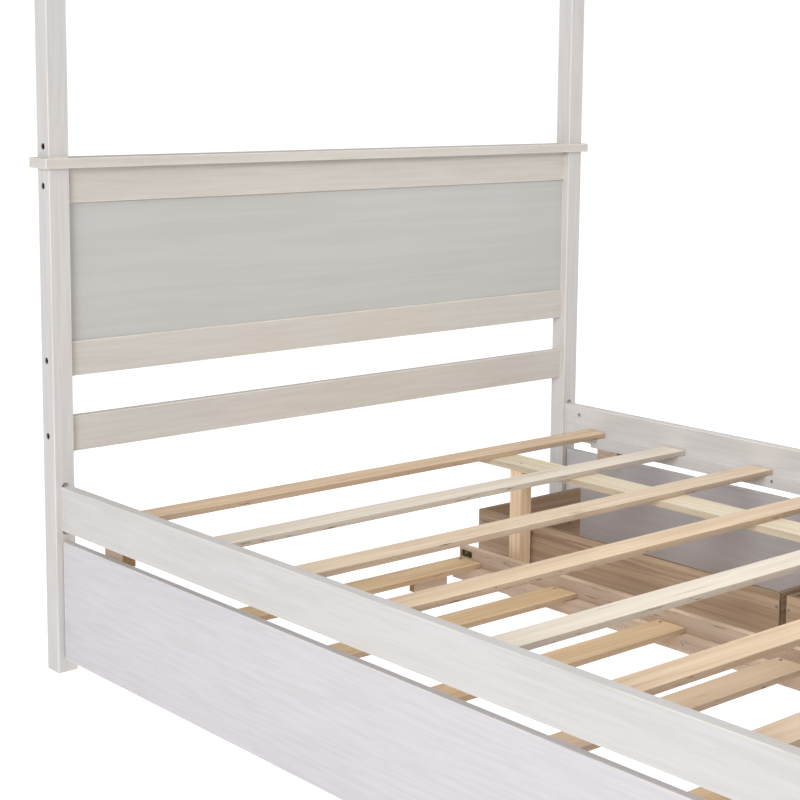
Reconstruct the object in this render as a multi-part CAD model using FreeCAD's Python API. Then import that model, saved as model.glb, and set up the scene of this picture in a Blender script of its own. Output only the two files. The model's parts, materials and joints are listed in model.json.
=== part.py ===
import FreeCAD, Part
import os

# Canopy bed with a rolling trundle on the left side and two rolling drawers on the right side.
# Millimetres. X across the bed (trundle side is -X, drawer side is +X), Y along it (head is +Y),
# Z up. The origin is on the floor, in the middle of the rectangle the four posts stand on.

# ---- bed frame -------------------------------------------------------------------------------
BED_WIDTH = 1630.0          # over the outer faces of the posts
RAIL_LENGTH = 2045.0        # between the head posts and the foot posts
CANOPY_HEIGHT = 1960.0
POST = 48.0                 # square section of every post
BOARD = 22.0                # thickness of the boards between two posts
BOARD_SETBACK = 16.0        # from the mattress side of the post to the board
CAP_THICKNESS = 22.0
CAP_OVERHANG_END = 14.0
CAP_OVERHANG_SIDE = 12.0

# ---- heights of the boards -------------------------------------------------------------------
HEAD_CAP_Z = 1110.0         # underside of the headboard cap
FOOT_CAP_Z = 568.0          # underside of the footboard cap
TOP_RAIL_TALL = 76.0
LOW_RAIL_Z = 657.0
LOW_RAIL_TALL = 76.0
HEAD_SLAT_Z = 490.0
HEAD_SLAT_TALL = 78.0
PANEL_THICKNESS = 9.0
PANEL_TONGUE = 8.0          # how far the panel goes into the rails and posts
PANEL_SETBACK = 7.0         # from the face of the rail to the face of the panel
GROOVE_CLEARANCE = 0.3
SIDE_RAIL_Z = 320.0
SIDE_RAIL_TALL = 98.0
SIDE_RAIL_THICK = 26.0
SIDE_RAIL_INSET = 15.5      # from the outer face of the post to the outer face of the rail
CANOPY_RAIL_TALL = 60.0

# ---- rail end slots --------------------------------------------------------------------------
SLOT_CENTRE = 25.0          # from the outer face of the post
SLOT_WIDTH = 18.0
SLOT_DEPTH = 8.0
SLOT_OVER = 9.0             # slot shows this much above and below the rail
TENON_WIDTH = 14.0
TENON_LENGTH = 7.0
TENON_SHOULDER = 6.0

# ---- fixings ---------------------------------------------------------------------------------
BOLT_D = 6.0
BOLT_HEAD_D = 14.0
BOLT_HEAD_LONG = 5.0
BOLT_RECESS = 7.0           # counterbore depth in the post
BOLT_INTO_RAIL = 62.0
HEX_KEY = 6.0
NUT_D = 10.0
NUT_LONG = 13.0
NUT_HOLE_OPEN = 12.0        # nut hole runs this far back from the nut, past the drilled face
NUT_FROM_END = 54.0
FIX_CLEARANCE = 0.3         # radial play of a bolt, nut or stud in its hole
STUD_D = 10.0
STUD_UP = 50.0              # into the upper post, past the cap
STUD_DOWN = 30.0            # into the lower post, ending above its highest bolt
LOCK_SCREW_LONG = 13.0
LOCK_SCREW_UP = 24.0        # above the cap
SCREW_D = 4.0
SCREW_HEAD_D = 8.0
SCREW_HEAD_DEEP = 2.2
SCREW_LONG = 26.0
SCREW_INTO_SLAT = 8.0       # screws driven up from below
CLEAT_SCREW_LONG = 36.0
CLEAT_SCREW_END = 15.0      # from the end of a mattress cleat to its first screw
TRAY_CLEAT_SCREW = 12.0     # from a trundle slat to the cleat screw beside it

# ---- mattress support ------------------------------------------------------------------------
SLAT_TOP_Z = 360.0
SLAT_THICK = 14.0
SLAT_WIDE = 68.0
SLAT_COUNT = 7
SLAT_PITCH = 278.0
FIRST_SLAT = 85.0           # from the head posts to the first slat
SLAT_END_GAP = 3.0
CLEAT_THICK = 24.0
CLEAT_TALL = 28.0
CLEAT_END = 122.0           # from the posts to the end of the cleat
BEAM_X = 353.0              # left edge of the beam
BEAM_WIDE = 90.0
BEAM_THICK = 15.0
BEAM_END = 70.0             # from the posts to the end of the beam
LEG = 38.0
LEG_X = 358.0
LEG_FROM_POST = 231.0       # to the middle of each leg
STOP_LONG = 70.0
STOP_FROM_POST = 147.0
STOP_DROP = 37.0            # height of the stop block under the cleat
STOP_GAP = 0.5              # between a closed front and its stop

# ---- trundle ---------------------------------------------------------------------------------
FRONT_THICK = 18.0
FRONT_GAP = 4.0             # between a front and the post
FRONT_Z = 30.0
TRUNDLE_FRONT_TOP = 297.0
TRAY_END = 78.0             # from the post to the end of the tray
BACK_RAIL_X = 312.0
BACK_RAIL_THICK = 20.0
BACK_RAIL_TOP = 112.0
TRAY_CLEAT_TALL = 36.0
TRAY_SLAT_Z = 69.0
TRAY_SLAT_WIDE = 82.0
TRAY_SLAT_PITCH = 336.0
TRAY_SCREW_SHARE = 0.8      # place of a slat's screw across the slat
TRAY_SLAT_COUNT = 6         # on the pitch, and one more closes the foot end
POCKET_LONG = 40.0
POCKET_TALL = 20.0
POCKET_DEEP = 9.0
POCKET_FROM_END = 6.0
POCKET_Z = 84.0
BLOCK_THICK = 18.0          # caster blocks under the first and the last trundle slat
BLOCK_TALL = 33.0
BLOCK_LONG = 110.0
BLOCK_FROM_CLEAT = 65.0
CATCH_PLATE = 2.0           # plate at the bottom of each pocket, with an arched strap on it
CATCH_STRAP_R = 7.0
CATCH_STRAP_THICK = 2.0

# ---- drawers ---------------------------------------------------------------------------------
DRAWER_FRONT_TOP = 290.0
DRAWER_WALL = 12.0
DRAWER_BACK_X = 408.0
DRAWER_WALL_TOP = 187.0
DRAWER_BOTTOM_Z = 40.0
DRAWER_BOTTOM_THICK = 5.0
DRAWER_OUTER_INSET = 47.0   # from the post to the box
DRAWER_INNER_INSET = 10.0   # from the middle of the bed to the box
CAM_D = 15.0
CAM_DEEP = 9.0
CAM_FROM_FRONT = 41.0
CAM_Z = 98.0
DRAWER_SCREWS_Z = (105.0, 155.0)

# ---- rolling casters -------------------------------------------------------------------------
TRAY_WHEEL_R = 20.0
TRAY_WHEEL_WIDE = 16.0
DRAWER_WHEEL_R = 15.0
DRAWER_WHEEL_WIDE = 12.0
DRAWER_WHEELS_X = (455.0, 735.0)
DRAWER_WHEEL_INSET = 60.0   # from the end of the box to the wheel
WHEEL_HUB_D = 6.6
AXLE_D = 6.0
AXLE_PLAY = 0.3             # radial play of the wheel on its axle
FORK_PLATE = 2.0
FORK_GAP = 1.2              # between the wheel and each fork plate

# ---- positions worked out from the above -----------------------------------------------------
HALF_X = BED_WIDTH / 2
POST_Y = RAIL_LENGTH / 2                       # mattress side face of the posts
INNER_X = HALF_X - POST
OUTER_Y = POST_Y + POST
BOARD_Y = POST_Y + BOARD_SETBACK               # mattress side face of the end boards
BOARD_MID_Y = BOARD_Y + BOARD / 2
PANEL_Y = BOARD_Y + PANEL_SETBACK
RAIL_OUT_X = HALF_X - SIDE_RAIL_INSET
RAIL_IN_X = RAIL_OUT_X - SIDE_RAIL_THICK
SLOT_X = HALF_X - SLOT_CENTRE
POST_MID_X = HALF_X - POST / 2
POST_MID_Y = POST_Y + POST / 2
SIDE_BOLT_Z = SIDE_RAIL_Z + SIDE_RAIL_TALL - 25
FOOT_RAIL_BOLT_Z = SIDE_RAIL_Z + 25
SLAT_Z = SLAT_TOP_Z - SLAT_THICK
CLEAT_Z = SLAT_Z - CLEAT_TALL
CLEAT_IN_X = RAIL_IN_X - CLEAT_THICK
FRONT_IN_X = RAIL_OUT_X - FRONT_THICK
TRAY_Y = POST_Y - TRAY_END
CANOPY_Z = CANOPY_HEIGHT - CANOPY_RAIL_TALL
CANOPY_SIDE_BOLT_Z = CANOPY_HEIGHT - 16
CANOPY_END_BOLT_Z = CANOPY_Z + 14
HEAD_BOARDS = ((HEAD_CAP_Z - TOP_RAIL_TALL, TOP_RAIL_TALL),
               (LOW_RAIL_Z, LOW_RAIL_TALL),
               (HEAD_SLAT_Z, HEAD_SLAT_TALL))
HEAD_BOLTS_Z = tuple(z + tall / 2 for z, tall in HEAD_BOARDS)
FOOT_BOLTS_Z = (FOOT_CAP_Z - TOP_RAIL_TALL / 2, FOOT_RAIL_BOLT_Z)
LEGS_Y = (POST_Y - LEG_FROM_POST, LEG_FROM_POST - POST_Y)
SLATS_Y = tuple(POST_Y - FIRST_SLAT - SLAT_WIDE - SLAT_PITCH * n for n in range(SLAT_COUNT))
TRAY_SLATS_Y = tuple(TRAY_Y - TRAY_SLAT_WIDE - TRAY_SLAT_PITCH * n for n in range(TRAY_SLAT_COUNT))
TRAY_SLATS_Y = TRAY_SLATS_Y + (-TRAY_Y,)
BLOCKS_Y = (TRAY_Y - TRAY_SLAT_WIDE / 2, TRAY_SLAT_WIDE / 2 - TRAY_Y)
BLOCKS_X = (-FRONT_IN_X + CLEAT_THICK + BLOCK_FROM_CLEAT,
            BACK_RAIL_X - CLEAT_THICK - BLOCK_FROM_CLEAT - BLOCK_LONG)

X_AXIS = FreeCAD.Vector(1, 0, 0)
Y_AXIS = FreeCAD.Vector(0, 1, 0)
Z_AXIS = FreeCAD.Vector(0, 0, 1)
written = []


def box(x0, x1, y0, y1, z0, z1):
    """A plain block between two corners, given in any order."""
    low = FreeCAD.Vector(min(x0, x1), min(y0, y1), min(z0, z1))
    return Part.makeBox(abs(x1 - x0), abs(y1 - y0), abs(z1 - z0), low)


def rod(x, y, z, radius, length, axis):
    """A cylinder from a start point, along an axis. A negative length runs backwards."""
    direction = axis if length > 0 else axis * -1
    return Part.makeCylinder(radius, abs(length), FreeCAD.Vector(x, y, z), direction)


def eased(shape, size, along):
    """Softens the long edges of a board, which are the straight edges along one axis."""
    edges = []
    for edge in shape.Edges:
        if type(edge.Curve).__name__ != "Line":
            continue
        direction = edge.tangentAt(edge.FirstParameter)
        if abs(abs(direction.dot(along)) - 1) < 1e-6:
            edges.append(edge)
    return shape.makeFillet(size, edges)


def save(node, shapes):
    """Writes one node, made of one solid or of several separate ones."""
    solids = []
    for shape in shapes:
        solids.extend(shape.Solids)
    out = solids[0] if len(solids) == 1 else Part.makeCompound(solids)
    for solid in solids:
        if not solid.isValid():
            print("not valid:", node)
    out.exportStep("parts/" + node + ".step")
    written.append(node)
    print(node, len(solids))


# ---- fixings ---------------------------------------------------------------------------------
def bolt_hole(x, y, z, into, length):
    """The hole a bolt leaves in a post and the rail behind it: counterbore and shank."""
    shank = rod(x, y, z, BOLT_D / 2 + FIX_CLEARANCE, into.dot(X_AXIS + Y_AXIS) * length, axis_of(into))
    head = rod(x, y, z, BOLT_HEAD_D / 2 + 0.5, into.dot(X_AXIS + Y_AXIS) * BOLT_RECESS, axis_of(into))
    return shank.fuse(head)


def axis_of(direction):
    """The positive axis a horizontal direction lies on."""
    return X_AXIS if abs(direction.x) > 0.5 else Y_AXIS


def bolt(x, y, z, into, length):
    """Socket head bolt, its head at the bottom of the counterbore."""
    sign = into.dot(X_AXIS + Y_AXIS)
    axis = axis_of(into)
    start = FreeCAD.Vector(x, y, z) + into * (BOLT_RECESS - BOLT_HEAD_LONG)
    head = rod(start.x, start.y, start.z, BOLT_HEAD_D / 2, sign * BOLT_HEAD_LONG, axis)
    key = rod(start.x, start.y, start.z, HEX_KEY / 2, sign * 3.0, axis)
    neck = start + into * BOLT_HEAD_LONG
    shank = rod(neck.x, neck.y, neck.z, BOLT_D / 2, sign * (length - BOLT_RECESS), axis)
    return head.fuse(shank).cut(key)


def nut_hole(x, y, z, axis, length):
    """Cross hole for a barrel nut, drilled from one face of the rail."""
    return rod(x, y, z, NUT_D / 2 + FIX_CLEARANCE, length, axis)


def barrel_nut(x, y, z, axis, length, bolt_axis):
    """Barrel nut lying across a bolt, with the bolt's hole through it and a screwdriver slot."""
    sign = 1 if length > 0 else -1
    body = rod(x, y, z, NUT_D / 2, sign * NUT_LONG, axis)
    middle = FreeCAD.Vector(x, y, z) + axis * (sign * NUT_LONG / 2) - bolt_axis * 10
    return body.cut(rod(middle.x, middle.y, middle.z, BOLT_D / 2 + FIX_CLEARANCE, 20, bolt_axis))


def screw(place, into, length):
    """Countersunk wood screw, its head level with the place, driven in one direction."""
    head = Part.makeCone(SCREW_HEAD_D / 2, SCREW_D / 2, SCREW_HEAD_DEEP)
    shank = rod(0, 0, SCREW_HEAD_DEEP, SCREW_D / 2, length - SCREW_HEAD_DEEP, Z_AXIS)
    slot = box(-2.6, 2.6, -0.5, 0.5, -1, 1)
    cross = box(-0.5, 0.5, -2.6, 2.6, -1, 1)
    return turned(head.fuse(shank).cut(slot.fuse(cross)), place, into)


def screw_hole(place, into, length):
    """The hole for a screw, with a little play all round."""
    play = 0.15
    head = Part.makeCone(SCREW_HEAD_D / 2 + play, SCREW_D / 2 + play, SCREW_HEAD_DEEP)
    return turned(head.fuse(rod(0, 0, 0, SCREW_D / 2 + play, length + 1, Z_AXIS)), place, into)


def turned(shape, place, into):
    """Moves a shape made along Z at the origin to a place and a direction."""
    shape.Placement = FreeCAD.Placement(place, FreeCAD.Rotation(Z_AXIS, into))
    return shape


def cut_all(shape, tools):
    """Takes every tool out of the shape in one go."""
    return shape.cut(tools) if tools else shape


# ---- the list of bolts -----------------------------------------------------------------------
def end_bolts():
    """Bolts along X: through a post into the end of a head, foot or canopy board."""
    found = []
    for side in (-1, 1):
        for z in HEAD_BOLTS_Z + (CANOPY_END_BOLT_Z,):
            found.append((side * HALF_X, BOARD_MID_Y, z, X_AXIS * -side))
        for z in FOOT_BOLTS_Z + (CANOPY_END_BOLT_Z,):
            found.append((side * HALF_X, -BOARD_MID_Y, z, X_AXIS * -side))
    return found


def side_bolts():
    """Bolts along Y: through a post into the end of a side rail or a canopy side rail."""
    found = []
    for end in (-1, 1):
        for side in (-1, 1):
            found.append((side * SLOT_X, end * OUTER_Y, SIDE_BOLT_Z, Y_AXIS * -end))
            found.append((side * POST_MID_X, end * OUTER_Y, CANOPY_SIDE_BOLT_Z, Y_AXIS * -end))
    return found


def lock_screws():
    """Short screws that clamp the studs of the upper posts."""
    found = []
    for side in (-1, 1):
        for y, cap_z in ((POST_MID_Y, HEAD_CAP_Z), (-POST_MID_Y, FOOT_CAP_Z)):
            z = cap_z + CAP_THICKNESS + LOCK_SCREW_UP
            found.append((side * HALF_X, y, z, X_AXIS * -side))
    return found


BOLT_LONG = POST + BOLT_INTO_RAIL


def frame_holes():
    """Every hole for the bolts, as one list of cutting tools."""
    tools = [bolt_hole(x, y, z, into, BOLT_LONG + 3) for x, y, z, into in end_bolts() + side_bolts()]
    tools.extend(bolt_hole(x, y, z, into, BOLT_RECESS + LOCK_SCREW_LONG) for x, y, z, into in lock_screws())
    return tools


def bored(shape, tools):
    """Cuts only the tools that reach the shape."""
    near = [tool for tool in tools if tool.BoundBox.intersect(shape.BoundBox)]
    return cut_all(shape, near)


# ---- posts -----------------------------------------------------------------------------------
def post(side, end, z0, z1):
    """A square post between two heights, with softened long edges."""
    blank = box(side * INNER_X, side * HALF_X, end * POST_Y, end * OUTER_Y, z0, z1)
    return eased(blank, 1.5, Z_AXIS)


def rail_slot(side, end):
    """Upright slot with round ends that takes the tenon of a side rail."""
    low = SIDE_RAIL_Z - SLOT_OVER + SLOT_WIDTH / 2
    high = SIDE_RAIL_Z + SIDE_RAIL_TALL + SLOT_OVER - SLOT_WIDTH / 2
    x = side * SLOT_X
    start = end * POST_Y
    middle = box(x - SLOT_WIDTH / 2, x + SLOT_WIDTH / 2, start, start + end * SLOT_DEPTH, low, high)
    ends = [rod(x, start, z, SLOT_WIDTH / 2, end * SLOT_DEPTH, Y_AXIS) for z in (low, high)]
    return middle.multiFuse(ends)


def panel_groove():
    """The room the headboard panel takes in the rails and the posts."""
    gap = GROOVE_CLEARANCE
    reach = PANEL_TONGUE + 1
    return box(-INNER_X - reach, INNER_X + reach, PANEL_Y - gap, PANEL_Y + PANEL_THICKNESS + gap,
               LOW_RAIL_Z + LOW_RAIL_TALL - reach, HEAD_CAP_Z - TOP_RAIL_TALL + reach)


def stud_hole(side, end, cap_z):
    """Upright hole for the stud that joins a lower and an upper post through the cap."""
    y = end * POST_MID_Y
    length = STUD_DOWN + CAP_THICKNESS + STUD_UP + 2
    return rod(side * POST_MID_X, y, cap_z - STUD_DOWN - 1, STUD_D / 2 + FIX_CLEARANCE, length, Z_AXIS)


def all_stud_holes():
    """The four stud holes."""
    return [stud_hole(side, end, z) for side in (-1, 1) for end, z in ((1, HEAD_CAP_Z), (-1, FOOT_CAP_Z))]


def make_posts(tools):
    """Four lower posts and four upper posts."""
    for side, name in ((-1, "left"), (1, "right")):
        for end, place, cap_z in ((1, "head", HEAD_CAP_Z), (-1, "foot", FOOT_CAP_Z)):
            lower = post(side, end, 0, cap_z)
            lower = lower.cut(rail_slot(side, end))
            if end > 0:
                lower = lower.cut(panel_groove())
            save(place + "_post_" + name, [bored(lower, tools)])
            upper = post(side, end, cap_z + CAP_THICKNESS, CANOPY_HEIGHT)
            save(place + "_upper_post_" + name, [bored(upper, tools)])


# ---- head and foot ends ----------------------------------------------------------------------
def end_board(end, z, tall):
    """A board between two posts. Its long edges are a little rounded."""
    blank = box(-INNER_X, INNER_X, end * BOARD_Y, end * (BOARD_Y + BOARD), z, z + tall)
    return eased(blank, 2.0, X_AXIS)


def cap(end, z):
    """The flat board that covers the posts and the top board."""
    x = HALF_X + CAP_OVERHANG_END
    y0 = POST_Y - CAP_OVERHANG_SIDE
    y1 = OUTER_Y + CAP_OVERHANG_SIDE
    blank = box(-x, x, end * y0, end * y1, z, z + CAP_THICKNESS)
    return eased(eased(blank, 3.0, Z_AXIS), 2.0, X_AXIS)


def make_ends(tools):
    """Headboard, footboard and the foot rail."""
    groove = panel_groove()
    names = ("headboard_top_rail", "headboard_bottom_rail", "headboard_slat")
    for name, (z, tall) in zip(names, HEAD_BOARDS):
        save(name, [bored(end_board(1, z, tall).cut(groove), tools)])
    save("footboard_rail", [bored(end_board(-1, FOOT_CAP_Z - TOP_RAIL_TALL, TOP_RAIL_TALL), tools)])
    save("foot_rail", [bored(end_board(-1, SIDE_RAIL_Z, SIDE_RAIL_TALL), tools)])
    save("headboard_cap", [bored(cap(1, HEAD_CAP_Z), tools)])
    save("footboard_cap", [bored(cap(-1, FOOT_CAP_Z), tools)])


def make_panel():
    """The thin recessed panel, held by its tongue all round."""
    reach = INNER_X + PANEL_TONGUE
    z0 = LOW_RAIL_Z + LOW_RAIL_TALL - PANEL_TONGUE
    z1 = HEAD_CAP_Z - TOP_RAIL_TALL + PANEL_TONGUE
    save("headboard_panel", [box(-reach, reach, PANEL_Y, PANEL_Y + PANEL_THICKNESS, z0, z1)])


# ---- side rails, cleats and canopy rails -----------------------------------------------------
def side_rail(side):
    """Side rail with a tenon at each end."""
    blank = box(side * RAIL_IN_X, side * RAIL_OUT_X, -POST_Y, POST_Y, SIDE_RAIL_Z, SIDE_RAIL_Z + SIDE_RAIL_TALL)
    rail = eased(blank, 2.5, Y_AXIS)
    x = side * SLOT_X
    reach = POST_Y + TENON_LENGTH
    z0 = SIDE_RAIL_Z + TENON_SHOULDER
    z1 = SIDE_RAIL_Z + SIDE_RAIL_TALL - TENON_SHOULDER
    return rail.fuse(box(x - TENON_WIDTH / 2, x + TENON_WIDTH / 2, -reach, reach, z0, z1))


def canopy_side(side):
    """Rail along the top, between a head post and a foot post."""
    x0 = side * (POST_MID_X - BOARD / 2)
    x1 = side * (POST_MID_X + BOARD / 2)
    return eased(box(x0, x1, -POST_Y, POST_Y, CANOPY_Z, CANOPY_HEIGHT), 2.0, Y_AXIS)


def slat_screw_spots():
    """Screws driven up into each mattress slat, through both cleats and the beam."""
    cleat_x = RAIL_IN_X - CLEAT_THICK / 2
    last = POST_Y - CLEAT_END - CLEAT_SCREW_END / 2
    found = []
    for y in SLATS_Y:
        middle = min(y + SLAT_WIDE / 2, last)
        for x in (-cleat_x, cleat_x):
            found.append((FreeCAD.Vector(x, middle, CLEAT_Z), Z_AXIS, CLEAT_TALL + SCREW_INTO_SLAT))
        beam = FreeCAD.Vector(BEAM_X + BEAM_WIDE / 2, middle, SLAT_Z - BEAM_THICK)
        found.append((beam, Z_AXIS, BEAM_THICK + SCREW_INTO_SLAT))
    return found


def leg_screw_spots():
    """Screws driven down through the beam into its legs."""
    x = LEG_X + LEG / 2
    return [(FreeCAD.Vector(x, y, SLAT_Z), Z_AXIS * -1, 2 * SCREW_LONG) for y in LEGS_Y]


def cleat_screw_spots():
    """Screws through the mattress cleats into the side rails."""
    end = POST_Y - CLEAT_END - CLEAT_SCREW_END
    rows = (end, SLATS_Y[2] - CLEAT_SCREW_END, SLATS_Y[4] - CLEAT_SCREW_END, -end)
    z = CLEAT_Z + CLEAT_TALL * 0.6
    spots = []
    for y in rows:
        for side in (-1, 1):
            spots.append((FreeCAD.Vector(side * CLEAT_IN_X, y, z), X_AXIS * side, CLEAT_SCREW_LONG))
    return spots


def support_screws():
    """Every screw of the mattress support: a place, a direction and a length."""
    return slat_screw_spots() + leg_screw_spots() + cleat_screw_spots()


def make_sides(tools, screws):
    """Side rails, the cleats on them, and the four rails of the canopy."""
    cleats = []
    for side, name in ((-1, "left"), (1, "right")):
        save("side_rail_" + name, [bored(side_rail(side), tools + screws)])
        save("canopy_rail_" + name, [bored(canopy_side(side), tools)])
        end = POST_Y - CLEAT_END
        cleat = box(side * CLEAT_IN_X, side * RAIL_IN_X, -end, end, CLEAT_Z, SLAT_Z)
        cleats.append(bored(cleat, screws))
    save("slat_cleats", cleats)
    cross = [bored(end_board(end, CANOPY_Z, CANOPY_RAIL_TALL), tools) for end in (-1, 1)]
    save("canopy_cross_rails", cross)


def make_support(screws):
    """Mattress slats, the beam under them and the legs of the beam."""
    half = RAIL_IN_X - SLAT_END_GAP
    slats = []
    for y in SLATS_Y:
        blank = box(-half, half, y, y + SLAT_WIDE, SLAT_Z, SLAT_TOP_Z)
        slats.append(bored(eased(blank, 1.0, X_AXIS), screws))
    save("bed_slats", slats)
    end = POST_Y - BEAM_END
    beam = box(BEAM_X, BEAM_X + BEAM_WIDE, -end, end, SLAT_Z - BEAM_THICK, SLAT_Z)
    save("centre_beam", [bored(beam, screws)])
    legs = []
    for y in LEGS_Y:
        leg = box(LEG_X, LEG_X + LEG, y - LEG / 2, y + LEG / 2, 0, SLAT_Z - BEAM_THICK)
        legs.append(bored(eased(leg, 1.0, Z_AXIS), screws))
    save("centre_legs", legs)
    stops = []
    for side in (-1, 1):
        for end in (-1, 1):
            y0 = end * (POST_Y - STOP_FROM_POST)
            y1 = y0 - end * STOP_LONG
            x0 = side * CLEAT_IN_X
            x1 = side * (FRONT_IN_X - STOP_GAP)
            stops.append(box(x0, x1, y0, y1, CLEAT_Z - STOP_DROP, CLEAT_Z))
    save("front_stops", stops)


# ---- metal fixings of the frame --------------------------------------------------------------
def make_fixings():
    """Bolts, barrel nuts, studs and screws of the frame."""
    bolts = [bolt(x, y, z, into, BOLT_LONG) for x, y, z, into in end_bolts() + side_bolts()]
    bolts.extend(bolt(x, y, z, into, LOCK_SCREW_LONG) for x, y, z, into in lock_screws())
    save("frame_bolts", bolts)
    save("barrel_nuts", [barrel_nut(*spot) for spot in nut_spots()])
    studs = []
    for side in (-1, 1):
        for end, z in ((1, HEAD_CAP_Z), (-1, FOOT_CAP_Z)):
            length = STUD_DOWN + CAP_THICKNESS + STUD_UP
            stud = rod(side * POST_MID_X, end * POST_MID_Y, z - STUD_DOWN, STUD_D / 2, length, Z_AXIS)
            studs.append(stud)
    save("post_studs", studs)
    save("support_screws", [screw(*spot) for spot in support_screws()])


def nut_spots():
    """Barrel nuts: a start on the drilled face, the drilling axis and the bolt's axis."""
    found = []
    for x, y, z, into in end_bolts():
        out = 1 if y > 0 else -1
        nut_x = x + into.x * (POST + NUT_FROM_END)
        found.append((nut_x, out * (BOARD_MID_Y + NUT_LONG / 2), z, Y_AXIS, -out, X_AXIS))
    for x, y, z, into in side_bolts():
        side = 1 if x > 0 else -1
        nut_y = y + into.y * (POST + NUT_FROM_END)
        found.append((x - side * NUT_LONG / 2, nut_y, z, X_AXIS, side, Y_AXIS))
    return found


def nut_holes():
    """Cross holes for the barrel nuts, open on the drilled face only."""
    tools = []
    for x, y, z, axis, sign, bolt_axis in nut_spots():
        back = FreeCAD.Vector(x, y, z) - axis * (sign * NUT_HOLE_OPEN)
        tools.append(nut_hole(back.x, back.y, back.z, axis, sign * (NUT_HOLE_OPEN + NUT_LONG + 0.5)))
    return tools


# ---- casters ---------------------------------------------------------------------------------
def wheel(x, y, radius, wide):
    """A wheel standing on the floor, its axle along Y, with a rounded tread."""
    disc = rod(x, y - wide / 2, radius, radius, wide, Y_AXIS)
    rims = [edge for edge in disc.Edges if type(edge.Curve).__name__ == "Circle"]
    disc = disc.makeFillet(2.0, rims)
    return disc.cut(rod(x, y - wide, radius, AXLE_D / 2 + AXLE_PLAY, 2 * wide, Y_AXIS))


def caster(x, y, radius, wide, top):
    """Fork of a fixed caster: mounting plate, two cheeks and the axle between them."""
    inner = wide / 2 + FORK_GAP
    outer = inner + FORK_PLATE
    cheek_half = radius * 0.55
    low = radius - 5
    shape = box(x - radius, x + radius, y - outer, y + outer, top - FORK_PLATE, top)
    for side in (-1, 1):
        cheek = box(x - cheek_half, x + cheek_half, y + side * inner, y + side * outer, low, top - FORK_PLATE)
        shape = shape.fuse(cheek)
    axle = rod(x, y - outer, radius, AXLE_D / 2, 2 * outer, Y_AXIS)
    return shape.fuse(axle).removeSplitter()


# ---- trundle ---------------------------------------------------------------------------------
def pocket(end):
    """Shallow hand grip near each end of the trundle's back rail."""
    y0 = end * (TRAY_Y - POCKET_FROM_END)
    y1 = y0 - end * POCKET_LONG
    blank = box(BACK_RAIL_X, BACK_RAIL_X + POCKET_DEEP, y0, y1, POCKET_Z, POCKET_Z + POCKET_TALL)
    return eased(blank, 3.0, X_AXIS)


def catch(end):
    """Metal catch in a pocket: a plate with an arched strap that stands out from it."""
    gap = 0.5
    y0 = end * (TRAY_Y - POCKET_FROM_END - gap)
    y1 = y0 - end * (POCKET_LONG - 2 * gap)
    x = BACK_RAIL_X + POCKET_DEEP
    z0 = POCKET_Z + gap
    z1 = POCKET_Z + POCKET_TALL - gap
    plate = eased(box(x - CATCH_PLATE, x, y0, y1, z0, z1), 2.5, X_AXIS)
    y = (y0 + y1) / 2
    z = z0 + 3.0
    start = x - CATCH_PLATE - 5.0
    ring = rod(start, y, z, CATCH_STRAP_R + CATCH_STRAP_THICK, 5.0, X_AXIS)
    ring = ring.cut(rod(start, y, z, CATCH_STRAP_R, 5.0, X_AXIS))
    ring = ring.common(box(start, x, y - 20, y + 20, z, z1))
    return plate.fuse(ring).removeSplitter()


def tray_slat_screws():
    """One screw at each end of each trundle slat, driven down into the cleats."""
    across = (-FRONT_IN_X + CLEAT_THICK / 2, BACK_RAIL_X - CLEAT_THICK / 2)
    spots = []
    for y in TRAY_SLATS_Y:
        for x in across:
            place = FreeCAD.Vector(x, y + TRAY_SLAT_WIDE * TRAY_SCREW_SHARE, TRAY_SLAT_Z + SLAT_THICK)
            spots.append((place, Z_AXIS * -1, SCREW_LONG))
    return spots


def tray_cleat_screws():
    """Screws through the trundle cleats into the front and the back rail."""
    rows = [TRAY_SLATS_Y[n] - TRAY_CLEAT_SCREW for n in (0, 2, 4)]
    rows.append(TRAY_SLAT_WIDE + TRAY_CLEAT_SCREW - TRAY_Y)
    z = TRAY_SLAT_Z - TRAY_CLEAT_TALL / 2
    spots = []
    for y in rows:
        spots.append((FreeCAD.Vector(-FRONT_IN_X + CLEAT_THICK, y, z), X_AXIS * -1, CLEAT_SCREW_LONG))
        spots.append((FreeCAD.Vector(BACK_RAIL_X - CLEAT_THICK, y, z), X_AXIS, CLEAT_SCREW_LONG))
    return spots


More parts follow.
